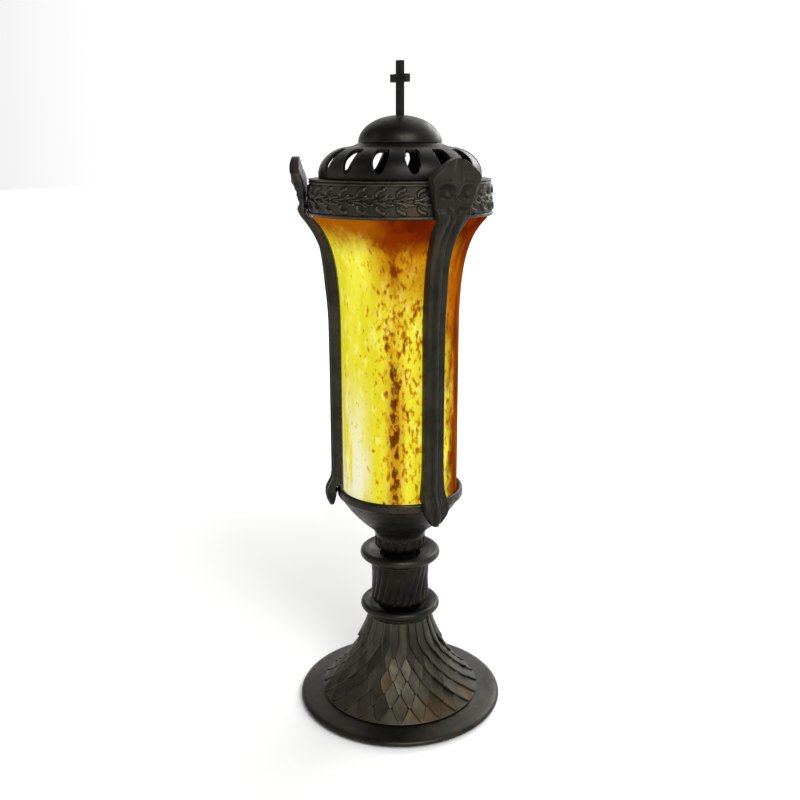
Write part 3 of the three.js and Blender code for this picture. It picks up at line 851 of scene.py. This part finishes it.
def top_band():
    """A ring with a laurel relief between two beads, a lip at the top and a shelf over the glass."""
    low, top, _ = span("top_band")
    foot_radius, lip_radius, wall, lip_bore = 53.9, 52.9, 2.1, 44.8
    shelf, shelf_bore = 318.7, 45.6
    rows, per_repeat = 56, 38
    field_low, field_high = low + 2.2, top - 2.8
    field = [(foot_radius - 0.4 + (lip_radius - foot_radius) * k / rows,
              field_low + (field_high - field_low) * k / rows) for k in range(rows + 1)]
    below = Outline(52.3, low).line((foot_radius - 0.1, low))
    below.arc((foot_radius - 0.6, low + 1.05), (1.0, 1.0), -85, 85, steps=10)
    above = Outline(field[-1][0], field_high + 0.15)
    above.arc((lip_radius - 0.5, field_high + 0.85), (0.75, 0.75), -80, 80, steps=10)
    above.line((lip_radius - 0.5, top - 1.05), (lip_radius + 0.15, top - 0.8), (lip_radius + 0.15, top),
               (lip_bore, top), (lip_bore, top - 2), (lip_radius - wall, top - 2), (51.9, shelf + 2),
               (shelf_bore, shelf + 2), (shelf_bore, shelf), (52.3, shelf))
    head, tail = rounded(below.points, 0.2, closed=False), rounded(above.points, 0.25, closed=False)
    points = [*head, *field, *tail]
    first, last = len(head), len(head) + len(field)
    pitch = TURN * foot_radius / LAURELS
    middle = (field_low + field_high) / 2
    start = np.arange(per_repeat)[:, None] / per_repeat - LAUREL_START
    across = start % 1 * pitch + np.zeros(len(field))
    up = np.zeros((per_repeat, 1)) + (np.array([z for _, z in field]) - middle)
    fade = np.clip(np.minimum(np.arange(rows + 1), rows - np.arange(rows + 1)) / 2, 0, 1)
    lift = np.zeros((per_repeat * LAURELS, len(points)))
    lift[:, first:last] = np.tile(laurel_height(across, up, pitch) * fade, (LAURELS, 1))

    def raised(azimuth, radius, height):
        return radius + lift, height

    shape = Shape().turn(points, per_repeat * LAURELS, spread=raised)
    shaped_piece("top_band", shape, relief_metal, sharp=50)


bowl()
glass_shade()
top_band()


# ---- Ribs ----

# The rib's ridge and back seen from the side, and half its width seen from the front, by height.
RIDGE = [(133.6, 44.4), (137.5, 46.2), (142, 47.1), (145.5, 46.9), (149, 45.4), (153, 43.6), (158, 43.1),
         (205, 43.1), (250, 43.3), (262, 43.9), (272.5, 44.9), (285, 46.1), (294.5, 47.9), (302.5, 50.6),
         (309.5, 54.8), (314.8, 58.9), (318, 60.1), (323, 59.6), (328.5, 60.2), (336, 62.4), (343, 63.4),
         (347.8, 62.8)]
BACK = [(133.6, 42.2), (134.8, 41.6), (138, 40.6), (141.5, 39.9), (147, 39.9), (150.2, 35.95), (250, 35.85),
        (262, 36.15), (280, 37.65), (291, 39.6), (299.6, 42.5), (306.4, 46.1), (311.4, 50.5), (314.5, 54.9),
        (328, 54.9), (334, 55.4), (342, 57.6), (347.8, 58.4)]
HALF_WIDTH = [(133.6, 1.9), (134.6, 3.2), (137.4, 5.0), (141, 7.0), (145, 8.0), (149, 7.9), (156, 7.1),
              (166, 6.4), (178, 6.15), (240, 6.15), (285, 6.2), (296, 6.5), (305, 7.2), (314, 9.3),
              (322, 11.5), (330, 13.4), (337.4, 15.2), (339.6, 13.4), (342.2, 10.3), (344.4, 7.4),
              (346.1, 4.8), (347.0, 2.6), (347.4, 0.8)]


def through(line, heights):
    """Smooth values at the heights through points of a line, without overshoot."""
    x, y = np.array(line).T
    slopes = np.diff(y) / np.diff(x)
    bend = np.zeros(len(x))
    same = slopes[:-1] * slopes[1:] > 0
    bend[1:-1][same] = 2 * slopes[:-1][same] * slopes[1:][same] / (slopes[:-1] + slopes[1:])[same]
    bend[0], bend[-1] = slopes[0], slopes[-1]
    k = np.clip(np.searchsorted(x, heights) - 1, 0, len(x) - 2)
    step = x[k + 1] - x[k]
    t = (heights - x[k]) / step
    return ((1 + 2 * t) * (1 - t) ** 2 * y[k] + t * (1 - t) ** 2 * step * bend[k]
            + t * t * (3 - 2 * t) * y[k + 1] + t * t * (t - 1) * step * bend[k + 1])


def rib_relief(x, z, half):
    """Height of the rib's face over the level of its side plates, in millimetres, by x and z."""
    away = np.abs(x)
    in_leaf = smooth_step(z, 319, 326)
    in_bar = smooth_step(z, 306, 284)
    ridge = (0.55 + 0.75 * in_bar) * np.exp(-(away / (1.25 + 0.5 * smooth_step(z, 146, 138))) ** 4) + 0.45
    grooves = -0.3 * np.exp(-((away - 2.4) / 0.9) ** 2) * in_bar
    side_plate = -0.05 * away * in_bar
    lobes = 1.1 * np.exp(-((away - 5.0) / 2.6) ** 2) * bell(z, 310, 22)
    valley = -0.4 * np.exp(-((away - 2.3) / 1.2) ** 2) * bell(z, 310, 18)
    bar = ridge + grooves + side_plate + lobes + valley
    petal_half = 0.2 + 4.1 * np.sin(np.clip((z - 325) / 24, 0, 1) * math.pi) ** 0.8
    petal = 2.1 * np.clip(1 - (away / petal_half) ** 2, 0, 1) ** 0.6 * smooth_step(z, 325.5, 329)
    petal = petal * (1 - 0.85 * smooth_step(z, 334, 345.5))
    eye = np.hypot((away - 6.6) / 3.6, (z - 331) / np.where(z > 331, 2.3, 3.6))
    hollow = -1.6 * np.exp(-1.15 * eye ** 2.2)
    brow = 0.8 * np.exp(-((eye - 1.5) / 0.4) ** 2) * smooth_step(z, 330, 333)
    pouch = 1.2 * np.exp(-((away - 6.4) / 2.9) ** 2 - ((z - 325.9) / 1.5) ** 2)
    heart = 1.2 * np.exp(-((away - 1.8) / 1.4) ** 2 - ((z - 325.3) / 1.2) ** 2)
    border = 0.6 * smooth_step(away / half, 0.76, 0.95) * smooth_step(z, 336.5, 339.5)
    crease_line = z - 322.0 + 0.1 * away
    crease = -1.0 * np.exp(-(crease_line / 1.5) ** 2) * smooth_step(away, 1.2, 4.2)
    leaf = petal + hollow + brow + pouch + heart + border + 0.8
    return bar * (1 - in_leaf) + leaf * in_leaf + crease


def rib_shape():
    """A rib at the front of the lamp, as a stack of loops from its foot to its tip."""
    stretches = ((133.6, 160, 64), (161, 285, 60), (286, 318, 60), (318.4, 347.4, 110))
    heights = np.concatenate([np.linspace(*stretch) for stretch in stretches])
    half, ridge, back = (through(line, heights)[:, None] for line in (HALF_WIDTH, RIDGE, BACK))
    z = heights[:, None]
    # Columns crowd towards the edges, where the face rounds over into the sides.
    x = half * np.sin(np.linspace(-1, 1, 46) * math.pi / 2)
    soft = np.minimum(0.8, 0.6 * half)
    near_edge = 1 - np.clip((half - np.abs(x)) / soft, 0, 1)
    face = ridge - 1.7 + rib_relief(x, z, half) - soft * (1 - np.sqrt(np.clip(1 - near_edge ** 2, 0, 1)))
    face = np.maximum(face, back + 0.6)

    def layer(x, depth):
        return np.stack([x, 0 * x - depth, z + 0 * x], axis=-1)

    right, left = (layer(side * half, back + 0.35) for side in (1, -1))
    behind = layer(half * np.linspace(1, -1, 12) * 0.96, back)
    loop = np.concatenate([layer(x, face), right, behind, left], axis=1)
    shape = Shape().grid(loop, wrap_columns=True)
    for end in (0, -1):
        ring = loop[end]
        centre = ring.mean(axis=0)
        inner = centre + (ring - centre) * 0.5
        shape.grid(np.stack([ring, inner, np.broadcast_to(centre, ring.shape)]), wrap_columns=True)
    return shape


rib = rib_shape()
for number, azimuth in enumerate(RIB_AZIMUTHS, start=1):
    placed = Shape().add(rib, Matrix.Rotation(math.radians(azimuth), 4, "Z"))
    shaped_piece(f"rib_{number}", placed, rib_metal, sharp=44)


# ---- Lid ----

DOME_CENTRE = (27.4, 337.4)
DOME_RISE = 15.7
DOME_WALL = 2.4
DOME_END = 79            # degrees round the ellipse of the dome, where it curves up to the cap
VENT_TURN = 0.65         # how far the first vent is from the front, as a part of a sector
VENT_MIDDLE = 10.9       # distance of the middle of a vent up the dome from its rim
VENT_RADIUS = 43         # radius at which the width of a vent is measured


def dome_side():
    """The outside of the dome, from its rim up to the cap."""
    _, _, radius = span("lid_dome")
    outline = Outline(radius, DOME_CENTRE[1])
    return outline.arc(DOME_CENTRE, (radius - DOME_CENTRE[0], DOME_RISE), 0, DOME_END, steps=60)


def vent_radius(angles):
    """Distance from the middle of a vent to its edge, by direction, 0 across and 90 degrees up."""
    edge = Outline(0, -9.8).bend((1.9, -9.8), (2.8, -6.8), steps=30).bend((4.4, -2.4), (4.6, 0.8), steps=30)
    edge.bend((4.75, 5.0), (4.1, 8.3), steps=30).bend((3.7, 9.6), (2.2, 9.6), steps=20).line((0, 9.6))
    spots = np.array(resampled(edge.points, 0.1))
    known = np.arctan2(spots[:, 1], spots[:, 0])
    order = np.argsort(known)
    return np.interp(np.arcsin(np.sin(angles)), known[order], np.hypot(*spots.T)[order])


def lid_dome():
    """A pierced dome with a skirt below it and a hub above. Sectors round the vents make the dome."""
    skin = Skin(dome_side().points)
    low, _, radius = span("lid_dome")
    sector = TURN / VENTS
    reach_down, reach_up = 10.6, 11.2      # of a sector from the middle of its vent
    across_steps, along_steps = 20, 26
    half = sector / 2 * VENT_RADIUS
    corners = np.array([(-half, -reach_down), (half, -reach_down), (half, reach_up), (-half, reach_up)])
    edge = []
    for i, steps in enumerate((across_steps, along_steps) * 2):
        side = corners[(i + 1) % 4] - corners[i]
        edge += [corners[i] + side * k / steps for k in range(steps)]
    edge = np.array(edge)
    angles = np.arctan2(edge[:, 1], edge[:, 0])
    hole = vent_radius(angles)[:, None] * np.stack([np.cos(angles), np.sin(angles)], axis=1)

    # Rings of spots with their depths, over the outer skin, down through the vent and back inside.
    rings = [(hole + (edge - hole) * t, 0.0) for t in (1.0, 0.72, 0.45, 0.24, 0.1, 0.03)]
    narrowing = [(0.997, 0.02), (0.98, 0.12), (0.968, 0.35), (0.965, 0.7), (0.965, 1.2), (0.965, 1.7),
                 (0.968, 2.1), (0.98, 2.3)]
    rings += [(hole * narrow, depth) for narrow, depth in narrowing]
    rings += [(hole + (edge - hole) * t, DOME_WALL) for t in (0.03, 0.15, 0.35, 0.65, 1.0)]
    shape = Shape()
    for i in range(VENTS):
        centre = (i + VENT_TURN) * sector
        rows = [skin.place(centre - spots[:, 0] / VENT_RADIUS, VENT_MIDDLE + spots[:, 1], -depth)
                for spots, depth in rings]
        shape.grid(np.array(rows), wrap_columns=True)

    columns = VENTS * across_steps
    first_edge = (VENT_TURN - 0.5) * sector
    azimuth = first_edge + np.arange(columns)[:, None] / columns * TURN
    below = np.linspace(0, VENT_MIDDLE - reach_down, 2)[None, :]
    above = np.linspace(VENT_MIDDLE + reach_up, skin.length, 8)[None, :]
    for reach in (below, above):
        for depth in (0, -DOME_WALL):
            lift = np.full((columns, reach.size), depth)
            shape.grid(skin.place(azimuth, reach + 0 * azimuth, lift), wrap_rows=True)

    base = DOME_CENTRE[1]
    rest = span("top_band")[1] + 0.3
    hub_top, hub_low, neck_top, neck_radius = 354.0, 351.8, 354.8, 24.5
    foot, crown = (skin.place(np.zeros(1), np.array([s]), -DOME_WALL)[0] for s in (0, skin.length))
    skirt = Outline(radius, base)
    skirt.line((radius, rest + 0.5), (radius - 0.12, rest + 0.12), (radius - 0.5, rest), (44.4, rest))
    skirt.line((44.4, low + 0.4), (44.0, low), (42.2, low), (42.0, low + 0.3), (42.0, base),
               (-foot[1], foot[2]))
    hub = Outline(*skin.points[-1]).bend((27, 353.0), (neck_radius, neck_top), steps=14)
    hub.line((neck_radius - 2, neck_top), (neck_radius - 3, hub_top), (TANG_BORE, hub_top),
             (TANG_BORE, hub_low), (8, hub_low), (-crown[1], crown[2]))
    for outline in (skirt, hub):
        turned = Shape().turn(outline.points, columns, closed=False)
        shape.add(turned, Matrix.Rotation(first_edge, 4, "Z"))
    shaped_piece("lid_dome", shape, polished_metal, sharp=55)


def upper_cap():
    """A small plain dome on the neck of the lid."""
    low, high, radius = span("upper_cap")
    low -= 0.22      # closer to the dome than the CAD piece, so that no light shows under it
    wall = 2.0
    recess_radius, recess_top = 21.3, 354.3      # room for the neck of the dome
    rise, top = high - low - 0.8, high - 0.8
    outline = Outline(radius - 0.35, low).line((radius - 0.05, low + 0.25))
    outline.arc((0, low), (radius, rise), 3, 84.3, steps=64)
    outline.line((TANG_BORE, top), (TANG_BORE, top - wall))
    outline.arc((0, low), (radius - wall, rise - wall), 83, 22, steps=48)
    outline.line((recess_radius - 1, low + 1), (recess_radius - 1, recess_top), (recess_radius, recess_top),
                 (recess_radius, low))
    turned_piece("upper_cap", outline, polished_metal, segments=192, edge=0.2)


def cross_finial():
    """A plain cross with bevelled edges on a threaded tang, turned a little from the front."""
    low, high = (v.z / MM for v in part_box("cross_finial"))
    base, turned_by = 370.3, math.radians(-15)
    bar, thick, arm_span, arm_height, arm_middle, edge = 4.2, 3.2, 13.4, 4.5, 390.4, 0.35
    arm_low, arm_high = arm_middle - arm_height / 2, arm_middle + arm_height / 2
    half = [(bar / 2, base), (bar / 2, arm_low), (arm_span / 2, arm_low), (arm_span / 2, arm_high),
            (bar / 2, arm_high), (bar / 2, high)]
    plan = half + [(-x, z) for x, z in reversed(half)]
    mesh = bpy.data.meshes.new("cross_finial")
    work = bmesh.new()
    sides = []
    for side in (-1, 1):
        sides.append([work.verts.new((x * MM, side * thick / 2 * MM, z * MM)) for x, z in plan])
        work.faces.new(sides[-1])
    front, back = sides
    for i in range(len(plan)):
        j = (i + 1) % len(plan)
        work.faces.new((front[i], front[j], back[j], back[i]))
    bmesh.ops.recalc_face_normals(work, faces=work.faces)
    bmesh.ops.bevel(work, geom=work.edges[:], offset=edge * MM, segments=3, profile=0.6, affect="EDGES")
    work.to_mesh(mesh)
    work.free()
    tang = Outline(0.02, low).line((1.5, low))
    pitch = 0.7
    for i in range(int((base - low - 2) / pitch)):
        start = low + 0.5 + i * pitch
        tang.line((1.95, start + 0.2), (1.62, start + 0.55))
    tang.line((2.0, base - 1.0), (2.0, base + 0.3), (0.02, base + 0.3))
    thread = mesh_of("cross_tang", Shape().turn(tang.points, 32, closed=False), sharp=30)
    work = bmesh.new()
    work.from_mesh(mesh)
    work.from_mesh(thread)
    bmesh.ops.rotate(work, verts=work.verts, cent=(0, 0, 0), matrix=Matrix.Rotation(turned_by, 3, "Z"))
    work.to_mesh(mesh)
    work.free()
    mesh.shade_smooth()
    mesh.set_sharp_from_angle(angle=math.radians(40))
    stand_for("cross_finial", mesh, black_metal)


lid_dome()
upper_cap()
cross_finial()


# ---- Candle, seals and fixings ----

def plain_ring(node, bore, look, edge=0.25, segments=96):
    low, high, radius = span(node)
    outline = Outline(bore, low).line((radius, low), (radius, high), (bore, high))
    turned_piece(node, outline, look, segments, edge)


def hex_nut(node, bore, flats):
    """A hexagon nut with its corners chamfered top and bottom."""
    low, high, _ = span(node)
    across = flats / 2
    narrow = across * 0.93
    outline = Outline(bore, low + 0.3).line((bore + 0.3, low), (narrow, low), (across, low + 0.02),
                                            (across, high - 0.02), (narrow, high), (bore + 0.3, high),
                                            (bore, high - 0.3))
    for i in range(int(high - low - 1), 0, -1):
        outline.line((bore + 0.28, low + i - 0.05), (bore, low + i - 0.5))
    corner = 3   # the first of the two points of the outline that follow the hexagon

    def hexagon(azimuth, radius, height):
        sixth = (azimuth + math.pi / 6) % (math.pi / 3) - math.pi / 6
        wide = across / np.cos(sixth)[:, 0]
        radius, height = radius.copy(), height.copy()
        chamfer = (wide - narrow) * 0.55
        radius[:, corner] = radius[:, corner + 1] = wide
        height[:, corner], height[:, corner + 1] = low + chamfer, high - chamfer
        return radius, height

    shaped_piece(node, Shape().turn(outline.points, 96, spread=hexagon), steel, sharp=25)


def threaded_rod(node):
    low, high, radius = span(node)
    root, pitch = radius - 0.8, 1.5
    outline = Outline(0.02, low).line((root, low))
    for i in range(int((high - low - 1) / pitch)):
        start = low + 0.4 + i * pitch
        outline.line((root, start + 0.1), (radius, start + 0.65), (radius, start + 0.85), (root, start + 1.4))
    outline.line((root, high), (0.02, high))
    shaped_piece(node, Shape().turn(outline.points, 40, closed=False), steel, sharp=20)


def rib_screw(node, azimuth):
    """A pan-head screw with a hexagon socket, from inside towards the back of the rib."""
    low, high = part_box(node)
    a = math.radians(azimuth)
    reach = [(v.co.x * math.sin(a) - v.co.y * math.cos(a)) / MM for v in frame["nodes"][node].data.vertices]
    near, length = min(reach), max(reach) - min(reach)
    head = 1.4 if length < 10 else 1.6
    outline = Outline(0.02, 0.9).line((1.2, 0.9), (1.3, 0.05), (1.7, 0))
    outline.bend((2.6, 0), (2.6, head - 0.2), steps=6).line((2.6, head), (1.5, head))
    pitch = 0.5
    for i in range(int((length - head - 0.6) / pitch)):
        outline.line((1.2, head + 0.3 + i * pitch), (1.5, head + 0.5 + i * pitch))
    outline.line((1.1, length), (0.02, length))
    place = Matrix.Translation((0, -near, (low.z + high.z) / 2 / MM))
    lay = Matrix.Rotation(a, 4, "Z") @ place @ Matrix.Rotation(math.pi / 2, 4, "X")
    shape = Shape().add(Shape().turn(outline.points, 32, closed=False), lay)
    shaped_piece(node, shape, steel, sharp=25)


def candle_jar():
    low, high, radius = span("candle_jar")
    wall = 1.2
    outline = Outline(0.02, low + 0.9).bend((radius - 8, low + 0.9), (radius - 5, low), steps=6)
    outline.line((radius - 3, low)).bend((radius, low), (radius, low + 3), steps=8)
    outline.line((radius, high - 0.6)).arc((radius - wall / 2, high - 0.6), (wall / 2, 0.6), 0, 180, steps=10)
    outline.line((radius - wall, low + 5)).bend((radius - wall, low + 2), (radius - 5, low + 2), steps=8)
    outline.line((0.02, low + 2))
    shape = Shape().turn(resampled(outline.points, 12), 128, closed=False)
    shaped_piece("candle_jar", shape, clear_glass(), sharp=50)


def candle_block():
    """The wax, with an uneven top that dips between the wick and the edge."""
    low, high, radius = span("candle_wax")
    outline = Outline(0.02, low).line((radius - 3.5, low)).bend((radius, low), (radius, low + 3), steps=6)
    outline.line((radius, high - 0.6)).bend((radius - 0.1, high), (radius - 1.0, high - 0.1), steps=5)
    outline.bend((radius - 3.5, high - 1.8), (radius - 10, high - 2.0), steps=10)
    outline.bend((8, high - 2.1), (1.5, high - 0.4), steps=10).line((0.02, high - 0.3))

    def settled(azimuth, radius, height):
        wave = 0.25 * np.sin(3 * azimuth + 0.7) + 0.15 * np.sin(7 * azimuth)
        near_top = smooth_step(height, high - 3, high) * smooth_step(radius, 3, 20)
        return radius, np.minimum(height + wave * near_top - 0.2 * near_top, high)

    shape = Shape().turn(resampled(outline.points, 6), 128, closed=False, spread=settled)
    shaped_piece("candle_wax", shape, candle_wax(), sharp=50)


def candle_wick():
    """Three strands of cotton twisted together."""
    low, high, _ = span("candle_wick")
    strands, twists, offset, sunk = 3, 2.2, 0.38, 0.6
    along = np.linspace(0, 1, 40)
    height = low - sunk + (high - low + sunk) * along - 0.3 * smooth_step(along, 0.9, 1)
    size = 0.5 * (1 - 0.35 * smooth_step(along, 0.85, 1))
    round_it = np.linspace(0, TURN, 10, endpoint=False)
    ring = np.stack([np.cos(round_it), np.sin(round_it), 0 * round_it], axis=-1)
    shape = Shape()
    for strand in range(strands):
        turn = TURN * (strand / strands + along * twists)
        middle = np.stack([offset * np.cos(turn), offset * np.sin(turn), height], axis=-1)
        shape.grid(middle[:, None] + ring[None] * size[:, None, None], wrap_columns=True)
        for end in (0, -1):
            loop = middle[end] + ring * size[end]
            shape.grid(np.stack([loop, np.broadcast_to(middle[end], loop.shape)]), wrap_columns=True)
    shaped_piece("candle_wick", shape, braided_cotton(low * MM, high * MM), sharp=60)


candle_jar()
candle_block()
candle_wick()
plain_ring("felt_pad", 16, felt, edge=0.4, segments=192)
plain_ring("candle_plate", 3, steel, edge=0.3, segments=128)
plain_ring("lower_gasket", 31.9, rubber)
plain_ring("upper_gasket", 46.6, rubber)
for node, bore in (("base_washer", ROD_BORE), ("bowl_washer", ROD_BORE), ("finial_washer", TANG_BORE),
                   ("cap_spacer", TANG_BORE)):
    plain_ring(node, bore, steel)
hex_nut("base_nut", ROD_BORE, 17)
hex_nut("bowl_nut", ROD_BORE, 17)
hex_nut("finial_nut", TANG_BORE, 7)
threaded_rod("tie_rod")
for number, azimuth in enumerate(RIB_AZIMUTHS, start=1):
    rib_screw(f"band_screw_{number}", azimuth)
    rib_screw(f"foot_screw_{number}", azimuth)
